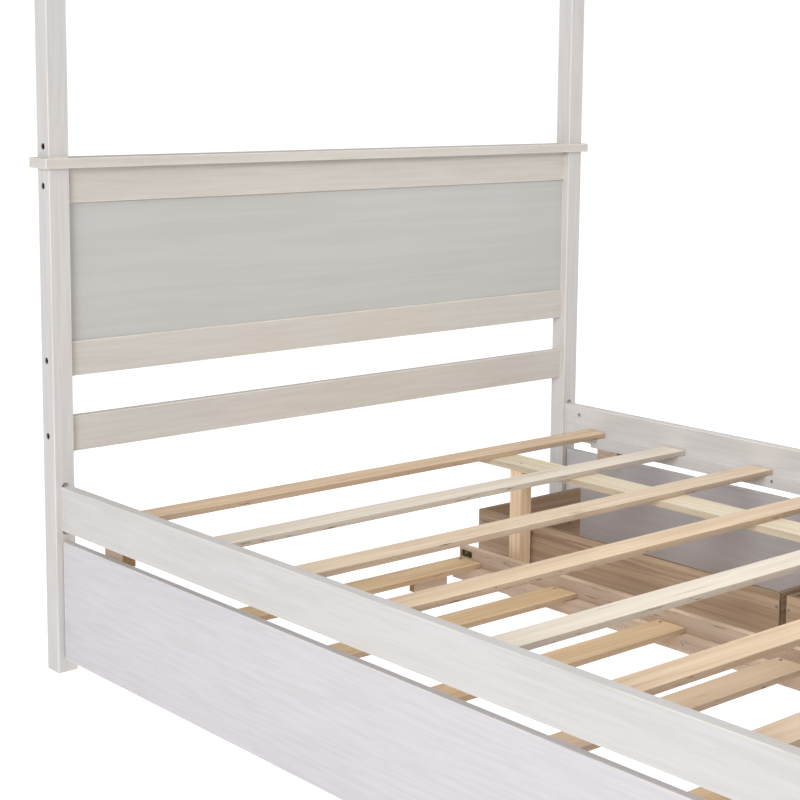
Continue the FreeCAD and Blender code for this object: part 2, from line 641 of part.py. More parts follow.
def make_trundle():
    """The low bed that rolls out on the left side."""
    front_y = POST_Y - FRONT_GAP
    spots = tray_slat_screws() + tray_cleat_screws()
    holes = [screw_hole(*spot) for spot in spots]
    front = box(-RAIL_OUT_X, -FRONT_IN_X, -front_y, front_y, FRONT_Z, TRUNDLE_FRONT_TOP)
    save("trundle_front", [bored(eased(front, 2.0, Y_AXIS), holes)])
    back = box(BACK_RAIL_X, BACK_RAIL_X + BACK_RAIL_THICK, -TRAY_Y, TRAY_Y, FRONT_Z, BACK_RAIL_TOP)
    back = eased(back, 1.5, Y_AXIS).cut([pocket(-1), pocket(1)])
    save("trundle_back_rail", [bored(back, holes)])
    low = TRAY_SLAT_Z - TRAY_CLEAT_TALL
    cleats = []
    for x in (-FRONT_IN_X, BACK_RAIL_X - CLEAT_THICK):
        cleats.append(bored(box(x, x + CLEAT_THICK, -TRAY_Y, TRAY_Y, low, TRAY_SLAT_Z), holes))
    save("trundle_cleats", cleats)
    slats = []
    for y in TRAY_SLATS_Y:
        x0 = -FRONT_IN_X + 2
        slat = box(x0, BACK_RAIL_X - 1, y, y + TRAY_SLAT_WIDE, TRAY_SLAT_Z, TRAY_SLAT_Z + SLAT_THICK)
        slats.append(bored(eased(slat, 1.0, X_AXIS), holes))
    save("trundle_slats", slats)
    blocks = []
    for x in BLOCKS_X:
        for y in BLOCKS_Y:
            y0 = y - BLOCK_THICK / 2
            blank = box(x, x + BLOCK_LONG, y0, y0 + BLOCK_THICK, TRAY_SLAT_Z - BLOCK_TALL, TRAY_SLAT_Z)
            blocks.append(eased(blank, 1.0, X_AXIS))
    save("trundle_blocks", blocks)
    save("trundle_catches", [catch(-1), catch(1)])
    save("trundle_screws", [screw(*spot) for spot in spots])


def tray_wheel_rows():
    """Middle of the wheel beside each block, towards the end of the tray."""
    offset = BLOCK_THICK / 2 + TRAY_WHEEL_WIDE / 2 + FORK_GAP + FORK_PLATE
    return [y + (offset if y > 0 else -offset) for y in BLOCKS_Y]


def make_trundle_casters():
    """Four fixed casters under the slats. One axle line each at the front and the back."""
    forks = []
    for block_x, name in zip(BLOCKS_X, ("front", "back")):
        x = block_x + BLOCK_LONG / 2
        wheels = [wheel(x, y, TRAY_WHEEL_R, TRAY_WHEEL_WIDE) for y in tray_wheel_rows()]
        save("trundle_wheels_" + name, wheels)
        for y in tray_wheel_rows():
            forks.append(caster(x, y, TRAY_WHEEL_R, TRAY_WHEEL_WIDE, TRAY_SLAT_Z))
    save("trundle_caster_forks", forks)


# ---- drawers ---------------------------------------------------------------------------------
def cam_spots(y_low, y_high):
    """Where the front is held to each side: on the inner face of the side board."""
    x = FRONT_IN_X - CAM_FROM_FRONT
    return ((x, y_low + DRAWER_WALL, -1), (x, y_high - DRAWER_WALL, 1))


def back_screw_spots(y_low, y_high):
    """Screws through the back board into the ends of the side boards."""
    spots = []
    for y in (y_low + DRAWER_WALL / 2, y_high - DRAWER_WALL / 2):
        for z in DRAWER_SCREWS_Z:
            spots.append((FreeCAD.Vector(DRAWER_BACK_X, y, z), X_AXIS, CLEAT_SCREW_LONG))
    return spots


def make_drawer(name, y_low, y_high, front_low, front_high):
    """A drawer: front, back, two sides, bottom, cam fittings, screws and casters."""
    z0 = DRAWER_BOTTOM_Z + DRAWER_BOTTOM_THICK
    z1 = DRAWER_WALL_TOP
    front = box(FRONT_IN_X, RAIL_OUT_X, front_low, front_high, FRONT_Z, DRAWER_FRONT_TOP)
    save(name + "_front", [eased(front, 2.0, Y_AXIS)])
    inner_x = DRAWER_BACK_X + DRAWER_WALL
    cams = cam_spots(y_low, y_high)
    spots = back_screw_spots(y_low, y_high)
    holes = [rod(x, y, CAM_Z, CAM_D / 2 + FIX_CLEARANCE, out * CAM_DEEP, Y_AXIS) for x, y, out in cams]
    holes.extend(screw_hole(*spot) for spot in spots)
    save(name + "_back", [bored(box(DRAWER_BACK_X, inner_x, y_low, y_high, z0, z1), holes)])
    ends = ((y_low, y_low + DRAWER_WALL, "side_foot"), (y_high - DRAWER_WALL, y_high, "side_head"))
    for y0, y1, part in ends:
        side = box(inner_x, FRONT_IN_X, y0, y1, z0, z1)
        save(name + "_" + part, [bored(side, holes)])
    bottom = box(DRAWER_BACK_X, FRONT_IN_X, y_low, y_high, DRAWER_BOTTOM_Z, z0)
    save(name + "_bottom", [bottom])
    save(name + "_cams", [cam_lock(x, y, out) for x, y, out in cams])
    save(name + "_screws", [screw(*spot) for spot in spots])
    make_drawer_casters(name, y_low, y_high)


def cam_lock(x, y, out):
    """Round cam fitting, a little below the face of the side board, with a cross slot."""
    body = rod(x, y + out * 0.6, CAM_Z, CAM_D / 2, out * (CAM_DEEP - 1), Y_AXIS)
    slot = box(x - 4.5, x + 4.5, y, y + out * 2.2, CAM_Z - 0.8, CAM_Z + 0.8)
    cross = box(x - 0.8, x + 0.8, y, y + out * 2.2, CAM_Z - 4.5, CAM_Z + 4.5)
    return body.cut(slot.fuse(cross))


def make_drawer_casters(name, y_low, y_high):
    """Four fixed casters under the bottom of a drawer."""
    rows = (y_low + DRAWER_WHEEL_INSET, y_high - DRAWER_WHEEL_INSET)
    forks = []
    for x, part in zip(DRAWER_WHEELS_X, ("back", "front")):
        wheels = [wheel(x, y, DRAWER_WHEEL_R, DRAWER_WHEEL_WIDE) for y in rows]
        save(name + "_wheels_" + part, wheels)
        for y in rows:
            forks.append(caster(x, y, DRAWER_WHEEL_R, DRAWER_WHEEL_WIDE, DRAWER_BOTTOM_Z))
    save(name + "_caster_forks", forks)


def make_drawers():
    """Two drawers side by side on the right."""
    outer = POST_Y - DRAWER_OUTER_INSET
    front_end = POST_Y - FRONT_GAP
    half_gap = FRONT_GAP / 2
    make_drawer("drawer_head", DRAWER_INNER_INSET, outer, half_gap, front_end)
    make_drawer("drawer_foot", -outer, -DRAWER_INNER_INSET, -front_end, -half_gap)


os.makedirs("parts", exist_ok=True)
frame_tools = frame_holes() + nut_holes() + all_stud_holes()
screw_tools = [screw_hole(*spot) for spot in support_screws()]
make_posts(frame_tools)
make_ends(frame_tools)
make_panel()
make_sides(frame_tools, screw_tools)
make_support(screw_tools)
make_fixings()
make_trundle()
make_trundle_casters()
make_drawers()
print("nodes:", len(written))
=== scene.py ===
# %% [markdown]
# # A canopy bed with a rolling trundle and two rolling drawers
#
# The bed is made of brushed, white-washed solid wood. What the mattress lies on is raw wood:
# pine slats, a beam on two legs, and a low trundle that rolls out on the left. On the right,
# two drawers of brown plywood roll out behind white fronts.
#
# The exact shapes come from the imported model, which is loaded as a fixed frame. Most boards stay
# as they are and only get their finish here. What repeats and has a finer or rougher shape in
# life, such as slats, bolts and wheels, is grown with Geometry Nodes on points measured on the
# frame.

import json
import math
import random

import bmesh
import bpy
from mathutils import Euler, Matrix, Vector


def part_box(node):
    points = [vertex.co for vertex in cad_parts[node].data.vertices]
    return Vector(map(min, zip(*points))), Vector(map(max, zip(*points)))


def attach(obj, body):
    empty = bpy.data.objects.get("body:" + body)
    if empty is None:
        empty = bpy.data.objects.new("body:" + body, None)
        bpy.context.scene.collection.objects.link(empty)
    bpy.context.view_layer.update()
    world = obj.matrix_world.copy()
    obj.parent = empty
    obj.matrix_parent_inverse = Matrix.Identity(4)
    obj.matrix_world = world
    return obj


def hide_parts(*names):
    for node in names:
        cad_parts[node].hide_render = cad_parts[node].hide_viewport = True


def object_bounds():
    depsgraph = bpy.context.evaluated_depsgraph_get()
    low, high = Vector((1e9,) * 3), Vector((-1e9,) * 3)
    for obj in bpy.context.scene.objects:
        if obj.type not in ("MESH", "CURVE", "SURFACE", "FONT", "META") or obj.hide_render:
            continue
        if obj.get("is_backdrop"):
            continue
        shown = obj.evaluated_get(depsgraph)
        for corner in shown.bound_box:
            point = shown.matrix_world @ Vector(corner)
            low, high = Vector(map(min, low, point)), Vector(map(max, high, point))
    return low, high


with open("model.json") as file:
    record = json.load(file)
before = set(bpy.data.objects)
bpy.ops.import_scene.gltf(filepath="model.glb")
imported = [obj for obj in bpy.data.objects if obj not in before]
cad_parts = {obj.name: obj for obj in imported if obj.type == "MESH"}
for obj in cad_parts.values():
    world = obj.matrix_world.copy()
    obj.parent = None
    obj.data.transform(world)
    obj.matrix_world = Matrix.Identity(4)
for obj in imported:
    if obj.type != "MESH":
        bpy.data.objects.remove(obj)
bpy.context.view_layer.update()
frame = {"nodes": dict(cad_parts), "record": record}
nodes = frame["nodes"]
body_of_node = {n: body for body, ns in frame["record"]["behaviour"]["bodies"].items() for n in ns}
slot_of_node = {part["node"]: part["material_slot"] for part in frame["record"]["subparts"]}

# %% [markdown]
# ## Camera
#
# A camera can be placed by a look-at constraint or by its own angles. Angles are used here,
# because they give the slight roll directly: the camera stands at the foot of the trundle side, a
# little above the headboard, and looks at the head through a long lens. The lens is shifted a
# little as well as tilted, which keeps the tall posts nearly upright.

# %% Camera
CAMERA_PLACE = (-2.6476, -2.2423, 1.3133)
CAMERA_HEADING = 40.782     # degrees clockwise from the bed's length
CAMERA_DOWN = 8.062
CAMERA_ROLL = 0.497
CAMERA_LENS = 77.955
CAMERA_SHIFT = -0.10
SENSOR_WIDE = 36.0

lens = bpy.data.cameras.new("camera")
lens.lens = CAMERA_LENS
lens.sensor_width = SENSOR_WIDE
lens.shift_y = CAMERA_SHIFT
lens.clip_end = 60.0
camera = bpy.data.objects.new("camera", lens)
bpy.context.scene.collection.objects.link(camera)
turn = Euler((math.radians(90 - CAMERA_DOWN), 0, math.radians(-CAMERA_HEADING))).to_matrix()
turn = turn @ Matrix.Rotation(math.radians(CAMERA_ROLL), 3, "Z")
camera.matrix_world = Matrix.Translation(CAMERA_PLACE) @ turn.to_4x4()
bpy.context.scene.camera = camera
print("camera:", CAMERA_LENS, "mm lens")

# %% [markdown]
# ## Node helper
#
# Every finish below is a small net of shader nodes, and every repeated piece a net of geometry
# nodes. Writing each node out takes four or five lines, so one helper adds a node, sets its
# options and fills its inputs, each from a number or from another node's output.

# %% Node helper
def add(tree, kind, inputs=None, **options):
    """Adds a node. An input is named or numbered, and takes a value or an output socket."""
    node = tree.nodes.new(kind)
    for name, value in options.items():
        setattr(node, name, value)
    for key, value in (inputs or {}).items():
        if isinstance(value, bpy.types.NodeSocket):
            tree.links.new(value, node.inputs[key])
        else:
            node.inputs[key].default_value = value
    return node


def math_node(tree, operation, a, b=0.0, clamp=False):
    """One sum on numbers, as an output socket."""
    return add(tree, "ShaderNodeMath", {0: a, 1: b}, operation=operation, use_clamp=clamp).outputs[0]


def vector_node(tree, operation, a, b=(0, 0, 0)):
    """One sum on vectors, as an output socket."""
    return add(tree, "ShaderNodeVectorMath", {0: a, 1: b}, operation=operation).outputs[0]


def spread(tree, value, low, high, to_low=0.0, to_high=1.0):
    """Takes a value from one range to another with a soft start and end."""
    inputs = {"Value": value, "From Min": low, "From Max": high, "To Min": to_low, "To Max": to_high}
    return add(tree, "ShaderNodeMapRange", inputs, interpolation_type="SMOOTHSTEP").outputs["Result"]


def tone(red, green, blue):
    """A colour from a paint chart, 0 to 255, as the linear colour that nodes take."""
    def linear(v):
        v = v / 255
        return v / 12.92 if v <= 0.04045 else ((v + 0.055) / 1.055) ** 2.4
    return (linear(red), linear(green), linear(blue), 1.0)


def mixed(tree, share, first, second, blend="MIX"):
    """Mixes two colours, each a value or a socket."""
    node = add(tree, "ShaderNodeMix", data_type="RGBA", blend_type=blend)
    for key, value in ((0, share), (6, first), (7, second)):
        if isinstance(value, bpy.types.NodeSocket):
            tree.links.new(value, node.inputs[key])
        else:
            node.inputs[key].default_value = value
    return node.outputs[2]


print("helpers:", [helper.__name__ for helper in (add, math_node, vector_node, spread, tone, mixed)])

# %% [markdown]
# ## Wood
#
# Real boards differ from each other, and their grain runs along their length. A picture texture
# would need a flat layout for each board. A pattern in the board's own space needs none, so the
# grain is noise that is squeezed across the board and stretched along it. Each board gets its own
# offset in that noise, as if cut from another place in the tree.
#
# Two things that tell wood from plastic depend on where a point lies on its board: the end grain,
# and the light line along each arris, which is partly wear and thin paint and partly a painted
# highlight where the rounded edge would catch the light. The normal finds the ends. For the
# arrises, the distance to the nearest two faces of the board's box is worked out in a node group.

# %% Grain space and noise
AXES = {"x": 0, "y": 1, "z": 2}
BOARD_OFFSET = (31.7, 23.3, 17.9)      # how far apart two boards' patterns lie
RING_CUT = 0.82                        # where a growth ring ends sharply


def grain_space(tree, along, seed, stretch=0.05):
    """The board's own coordinates, squeezed along the grain and moved to this board's place."""
    coords = add(tree, "ShaderNodeTexCoord").outputs["Object"]
    own = add(tree, "ShaderNodeAttribute", attribute_name="board").outputs["Fac"]
    shift = add(tree, "ShaderNodeCombineXYZ", {0: own, 1: own, 2: own}).outputs[0]
    shift = vector_node(tree, "MULTIPLY", shift, BOARD_OFFSET)
    scale = [1.0, 1.0, 1.0]
    scale[AXES[along]] = stretch
    chance = random.Random(seed)
    place = [chance.uniform(-9, 9) for _ in range(3)]
    mapped = add(tree, "ShaderNodeMapping", {"Vector": coords, "Location": place, "Scale": scale})
    return vector_node(tree, "ADD", mapped.outputs[0], shift)


def noise(tree, space, scale, detail=3.0, rough=0.55, bend=0.0):
    """Soft noise, 0 to 1, in a grain space."""
    inputs = {"Vector": space, "Scale": scale, "Detail": detail, "Roughness": rough, "Distortion": bend}
    return add(tree, "ShaderNodeTexNoise", inputs).outputs["Fac"]


def rings(tree, space, scale, along, wander=3.0):
    """Growth rings as they show on a board's face: long bands that bend into cathedrals."""
    slow = noise(tree, space, scale * 0.11, 2.0, 0.5)
    split = add(tree, "ShaderNodeSeparateXYZ", {0: space})
    across = [split.outputs[i] for name, i in AXES.items() if name != along]
    depth = math_node(tree, "ADD", across[0], math_node(tree, "MULTIPLY", across[1], 0.6))
    bent = math_node(tree, "MULTIPLY", slow, wander * 2.4)
    phase = math_node(tree, "ADD", math_node(tree, "MULTIPLY", depth, scale), bent)
    saw = math_node(tree, "FRACT", phase)
    rise = spread(tree, saw, 0.0, RING_CUT)
    fall = spread(tree, saw, RING_CUT, 1.0, 1.0, 0.0)
    return math_node(tree, "MULTIPLY", rise, fall)


print("grain runs along an axis:", list(AXES))

# %% [markdown]
# The distance to an arris is the same sum for every board, with only the corners of the box
# changed, so it is a node group with two inputs. The nearest face is the smallest of the three
# distances. The arris is as near as the middle one.

# %% Arris distance group
def arris_group():
    """Distance in metres from a point on a box to the nearest arris of that box."""
    tree = bpy.data.node_groups.new("arris_distance", "ShaderNodeTree")
    for name in ("Low", "High"):
        tree.interface.new_socket(name=name, in_out="INPUT", socket_type="NodeSocketVector")
    tree.interface.new_socket(name="Distance", in_out="OUTPUT", socket_type="NodeSocketFloat")
    given = tree.nodes.new("NodeGroupInput")
    result = tree.nodes.new("NodeGroupOutput")
    point = add(tree, "ShaderNodeTexCoord").outputs["Object"]
    from_low = vector_node(tree, "SUBTRACT", point, given.outputs["Low"])
    from_high = vector_node(tree, "SUBTRACT", given.outputs["High"], point)
    near = vector_node(tree, "MINIMUM", from_low, from_high)
    a, b, c = add(tree, "ShaderNodeSeparateXYZ", {0: near}).outputs
    smaller = math_node(tree, "MINIMUM", a, b)
    larger = math_node(tree, "MAXIMUM", a, b)
    second = math_node(tree, "MAXIMUM", smaller, math_node(tree, "MINIMUM", larger, c))
    tree.links.new(second, result.inputs["Distance"])
    return tree


ARRIS = arris_group()
print("group:", ARRIS.name, len(ARRIS.nodes), "nodes")


def arris(tree, low, high, reach):
    """1 on the arris of a box, fading to 0 at the reach."""
    group = add(tree, "ShaderNodeGroup", node_tree=ARRIS)
    group.inputs["Low"].default_value = low
    group.inputs["High"].default_value = high
    return spread(tree, group.outputs["Distance"], reach * 0.25, reach, 1.0, 0.0)


FACING_FROM = 0.7


def facing(tree, axis):
    """1 where the surface faces along an axis of the bed, either way."""
    normal = add(tree, "ShaderNodeTexCoord").outputs["Normal"]
    part = add(tree, "ShaderNodeSeparateXYZ", {0: normal}).outputs[AXES[axis]]
    return math_node(tree, "GREATER_THAN", math_node(tree, "ABSOLUTE", part), FACING_FROM)


def finish_off(tree, color, rough, height, depth=0.0004, strength=0.5):
    """Ends a finish: colour, roughness and bump into the surface shader."""
    bump = add(tree, "ShaderNodeBump", {"Height": height, "Distance": depth, "Strength": strength})
    inputs = {"Base Color": color, "Roughness": rough, "Normal": bump.outputs[0]}
    surface = add(tree, "ShaderNodeBsdfPrincipled", inputs)
    add(tree, "ShaderNodeOutputMaterial", {0: surface.outputs[0]})
    return surface


def new_finish(name):
    """An empty material with nodes on."""
    material = bpy.data.materials.new(name)
    material.use_nodes = True
    material.node_tree.nodes.clear()
    return material, material.node_tree


# %% [markdown]
# ## White wash
#
# The white is a thin stain that is brushed on and wiped along the grain. It is not an even coat:
# late wood shows through as faint grey-beige lines, knots show as warm ovals, and the wood's pores
# keep the brushed feel under the hand. On arrises the sander has left the coat thin and light, and
# the same line is lightened further as a painted highlight, where a rounded edge would catch the light.
# The same net serves every white board, with the grain turned to the board's length and a little
# difference in warmth from board to board.

# %% White wash finish
PORE = tone(160, 153, 147)
WARM_KNOT = tone(184, 170, 157)
ARRIS_WEAR_AND_HIGHLIGHT = tone(236, 229, 217)
ARRIS_WIDE = 0.003


def whitewash(name, along, seed, low, high, base, beige_share):
    """Brushed white over wood. Base is the paint's tone, and beige_share how warm the board is."""
    material, tree = new_finish(name)
    chance = random.Random(seed * 7 + 3)
    space = grain_space(tree, along, seed)
    fine = noise(tree, space, 260.0, 4.0, 0.62)
    streak = noise(tree, space, 115.0, 4.0, 0.62, 0.3)
    broad = noise(tree, grain_space(tree, along, seed + 50, 0.35), 4.5, 2.0, 0.5)
    late = rings(tree, space, 62.0, along, 4.0 + 2.0 * chance.random())
    light = tone(*base)
    shade = tone(base[0] - 6, base[1] - 7, base[2] - 9)
    color = mixed(tree, spread(tree, streak, 0.36, 0.62), shade, light)
    beige = tone(base[0] - 8, base[1] - 13, base[2] - 20)
    color = mixed(tree, math_node(tree, "MULTIPLY", late, beige_share * 0.3), color, beige)
    color = mixed(tree, spread(tree, broad, 0.5, 0.75, 0.0, beige_share), color, beige)
    pores = spread(tree, fine, 0.6, 0.78)
    color = mixed(tree, math_node(tree, "MULTIPLY", pores, 0.10), color, PORE)
    cloud = spread(tree, broad, 0.3, 0.7, -0.02, 0.02)
    value = math_node(tree, "ADD", cloud, 1.0 + chance.uniform(-0.01, 0.01))
    adjust = {"Hue": 0.5, "Saturation": 1.0, "Value": value, "Fac": 1.0, "Color": color}
    color = add(tree, "ShaderNodeHueSaturation", adjust).outputs[0]
    color = knots(tree, color, along, seed, WARM_KNOT, 0.3)
    # The arrises are lightened: partly the real thin, sanded coat, and partly a painted highlight where
    # the rounded edge would catch the light.
    wear_and_highlight_amount = spread(tree, streak, 0.3, 0.55, 0.2, 0.7)
    edge = math_node(tree, "MULTIPLY", arris(tree, low, high, ARRIS_WIDE), wear_and_highlight_amount)
    color = mixed(tree, edge, color, ARRIS_WEAR_AND_HIGHLIGHT)
    rough = spread(tree, fine, 0.3, 0.75, 0.42, 0.62)
    dip = math_node(tree, "MULTIPLY", late, 0.35)
    relief = math_node(tree, "SUBTRACT", math_node(tree, "MULTIPLY", fine, 0.8), dip)
    surface = finish_off(tree, color, rough, relief, 0.0003, 0.3)
    surface.inputs["Specular IOR Level"].default_value = 0.3
    return material


KNOT_SCALE = 3.1            # cells in a metre, across the grain
KNOT_RINGS = 95.0


def knots(tree, color, along, seed, dark, share):
    """A few oval knots, which are cells far apart in a space squeezed along the grain."""
    space = grain_space(tree, along, seed + 90, 0.42)
    cell = {"Vector": space, "Scale": KNOT_SCALE, "Randomness": 1.0}
    away = add(tree, "ShaderNodeTexVoronoi", cell).outputs["Distance"]
    ring = math_node(tree, "SINE", math_node(tree, "MULTIPLY", away, KNOT_RINGS))
    core = spread(tree, away, 0.012, 0.05, 1.0, 0.0)
    halo = spread(tree, away, 0.02, 0.13, 1.0, 0.0)
    halo = math_node(tree, "MULTIPLY", halo, spread(tree, ring, -1.0, 1.0, 0.1, 0.45))
    mask = math_node(tree, "MULTIPLY", math_node(tree, "MAXIMUM", core, halo), share)
    return mixed(tree, mask, color, dark)


print("white wash: arris", ARRIS_WIDE, "m wide,", KNOT_SCALE, "knot cells in a metre")

# %% [markdown]
# Each white board gets its own copy of the finish. A board is longest along its grain, so the
# axis is read from its box.

# %% Finish the white boards
def longest(low, high):
    """The name of the longest axis of a box."""
    size = [high[i] - low[i] for i in range(3)]
    return "xyz"[size.index(max(size))]


def set_finish(node, material):
    """Puts one material on a frame node."""
    mesh_slots = nodes[node].material_slots
    for held in mesh_slots:
        held.link = "OBJECT"
        held.material = material
    if not mesh_slots:
        nodes[node].data.materials.append(material)


WHITE, COOL_WHITE, WARM_WHITE = (211, 209, 209), (209, 207, 212), (211, 207, 202)
BEIGE_SHARE, FRONT_BEIGE_SHARE = 0.35, 0.1
FIRST_WHITE_SEED = 11
white_nodes = sorted(n for n, s in slot_of_node.items() if s == "white_wash")
for number, name in enumerate(white_nodes):
    low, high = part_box(name)
    tint, beige_share = WHITE, BEIGE_SHARE
    if "front" in name:
        tint, beige_share = COOL_WHITE, FRONT_BEIGE_SHARE
    if name.startswith("head") and "post" not in name:
        tint = WARM_WHITE
    seed = FIRST_WHITE_SEED + number
    finish = whitewash("white_wash_" + name, longest(low, high), seed, low, high, tint, beige_share)
    set_finish(name, finish)
print("white boards:", len(white_nodes))

# %% [markdown]
# ## Grey panel
#
# The recessed panel of the headboard is thin veneered board under the same wash. Its veneer is
# smoother and greyer than the solid boards round it, with a calm grain that runs across the bed
# and a cloudy tone where the wash was wiped.

# %% Panel finish
def panel_finish(name):
    """The calm, grey wash on a veneered board."""
    material, tree = new_finish(name)
    space = grain_space(tree, "x", 201, 0.03)
    fine = noise(tree, space, 320.0, 3.0, 0.6)
    band = noise(tree, space, 60.0, 3.0, 0.55, 0.6)
    cloud = noise(tree, grain_space(tree, "x", 202, 0.5), 3.2, 3.0, 0.55)
    color = mixed(tree, spread(tree, band, 0.35, 0.65), tone(193, 192, 189), tone(198, 197, 194))
    color = mixed(tree, spread(tree, cloud, 0.35, 0.7, 0.0, 0.35), color, tone(202, 202, 202))
    color = mixed(tree, spread(tree, fine, 0.6, 0.8, 0.0, 0.12), color, tone(160, 155, 149))
    surface = finish_off(tree, color, spread(tree, fine, 0.3, 0.7, 0.48, 0.6), fine, 0.0003, 0.3)
    surface.inputs["Specular IOR Level"].default_value = 0.35
    return material


low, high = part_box("headboard_panel")
set_finish("headboard_panel", panel_finish("grey_panel_headboard"))
print("panel:", [round(v, 3) for v in high - low])

# %% [markdown]
# ## Raw wood
#
# Slats, beam, legs and the trundle are raw, planed on their faces and only sawn on their edges.
# They are laminated, so an edge shows thin layers with torn dark spots between them, and the
# planed face meets it in a sharp line. Each slat has its own tone, from straw to cream, which
# comes from the attribute "pale" on its points. The attribute "board", which the slats' tree
# stores, gives each slat another place in the grain.

# %% Raw wood finish
KNOT_BROWN, PORE_BROWN, VEIN_BROWN = tone(150, 108, 70), tone(150, 116, 86), tone(150, 108, 76)
END_DARK, END_LIGHT = tone(118, 88, 60), tone(176, 141, 103)


def raw_wood(name, along, seed, light, dark, across="z", layered=True, pale=None, knotty=0.35):
    """Raw pine. Layers lie across one axis, and pale is the tone of the paler slats."""
    material, tree = new_finish(name)
    space = grain_space(tree, along, seed, 0.04)
    fine = noise(tree, space, 300.0, 4.0, 0.6)
    streak = noise(tree, space, 60.0, 4.0, 0.6, 0.5)
    late = rings(tree, space, 55.0, along, 5.0)
    color = mixed(tree, spread(tree, streak, 0.3, 0.7), dark, light)
    color = mixed(tree, math_node(tree, "MULTIPLY", late, 0.22), color, dark)
    own = add(tree, "ShaderNodeAttribute", attribute_name="pale").outputs["Fac"]
    if pale:
        washed = mixed(tree, spread(tree, streak, 0.3, 0.7), tone(*[v - 12 for v in pale]), tone(*pale))
        color = mixed(tree, own, color, washed)
    color = knots(tree, color, along, seed + 5, KNOT_BROWN, knotty)
    color = mixed(tree, spread(tree, fine, 0.6, 0.8, 0.0, 0.2), color, PORE_BROWN)
    vein = noise(tree, grain_space(tree, along, seed + 40, 0.025), 150.0, 2.0, 0.5, 0.8)
    color = mixed(tree, spread(tree, vein, 0.66, 0.72, 0.0, 0.4), color, VEIN_BROWN)
    dip = math_node(tree, "MULTIPLY", late, 0.2)
    relief = math_node(tree, "SUBTRACT", math_node(tree, "MULTIPLY", fine, 0.7), dip)
    if layered:
        color, relief = layered_edge(tree, color, relief, along, seed, across)
    ends = facing(tree, along)
    grain = noise(tree, grain_space(tree, along, seed + 9, 1.0), 420.0, 3.0, 0.7)
    end_color = mixed(tree, spread(tree, grain, 0.35, 0.65), END_DARK, END_LIGHT)
    color = mixed(tree, ends, color, end_color)
    surface = finish_off(tree, color, spread(tree, fine, 0.3, 0.75, 0.58, 0.78), relief, 0.0006, 0.5)
    surface.inputs["Specular IOR Level"].default_value = 0.25
    return material


EDGE_SHADE = tone(220, 217, 217)
GLUE_BROWN, TORN_BROWN = tone(140, 114, 92), tone(84, 62, 46)
LAYERS = 330.0              # in a metre of board


def layered_edge(tree, color, relief, along, seed, across):
    """The sawn edge of a laminated board: thin layers, glue lines and torn dark spots."""
    other = [a for a in "xyz" if a not in (along, across)][0]
    edge = facing(tree, other)
    space = grain_space(tree, along, seed + 20, 0.015)
    split = add(tree, "ShaderNodeSeparateXYZ", {0: space})
    level = math_node(tree, "MULTIPLY", split.outputs[AXES[across]], LAYERS)
    bend = math_node(tree, "MULTIPLY", noise(tree, space, 40.0, 2.0), 1.6)
    layer = math_node(tree, "PINGPONG", math_node(tree, "ADD", level, bend), 0.5)
    glue = spread(tree, layer, 0.0, 0.16, 1.0, 0.0)
    torn = noise(tree, grain_space(tree, along, seed + 30, 0.09), 190.0, 3.0, 0.7)
    torn = spread(tree, torn, 0.62, 0.70)
    shaded = mixed(tree, 1.0, color, EDGE_SHADE, "MULTIPLY")
    shaded = mixed(tree, math_node(tree, "MULTIPLY", glue, 0.35), shaded, GLUE_BROWN)
    shaded = mixed(tree, math_node(tree, "MULTIPLY", torn, 0.75), shaded, TORN_BROWN)
    color = mixed(tree, edge, color, shaded)
    groove = math_node(tree, "MULTIPLY", glue, 0.6)
    cut = math_node(tree, "ADD", groove, math_node(tree, "MULTIPLY", torn, 1.2))
    relief = math_node(tree, "SUBTRACT", relief, math_node(tree, "MULTIPLY", cut, edge))
    return color, relief


STRAW, STRAW_DARK = tone(232, 209, 180), tone(214, 186, 156)
TAN, TAN_DARK = tone(234, 216, 196), tone(214, 191, 168)
OCHRE, OCHRE_DARK = tone(234, 209, 172), tone(214, 184, 144)
BEAM, BEAM_DARK = tone(234, 224, 200), tone(218, 203, 176)
LEG, LEG_DARK = tone(242, 220, 192), tone(216, 186, 152)
CREAM, SAND = (236, 226, 211), (226, 203, 178)

wood_slats = raw_wood("raw_pine_slats", "x", 301, STRAW, STRAW_DARK, "z", True, CREAM)
wood_tray = raw_wood("raw_pine_trundle_slats", "x", 302, OCHRE, OCHRE_DARK, "z", True, SAND)
wood_beam = raw_wood("raw_pine_beam", "y", 303, BEAM, BEAM_DARK)
wood_legs = raw_wood("raw_pine_legs", "z", 304, LEG, LEG_DARK, "x", False, None, 0.8)
wood_cleat = raw_wood("raw_pine_cleats", "y", 305, TAN, TAN_DARK)
wood_block = raw_wood("raw_pine_blocks", "x", 306, TAN, TAN_DARK)
for name, material in (("centre_beam", wood_beam), ("centre_legs", wood_legs), ("front_stops", wood_cleat),
                       ("trundle_back_rail", wood_cleat), ("trundle_cleats", wood_cleat),
                       ("trundle_blocks", wood_block)):
    set_finish(name, material)
print("raw wood finishes:", 6)

# %% [markdown]
# ## Brown plywood
#
# The drawers are boxes of thin plywood with a brown, strongly streaked veneer. The veneer's grain
# runs along each board, the cut edges are paler, and a dark glue line runs through them.

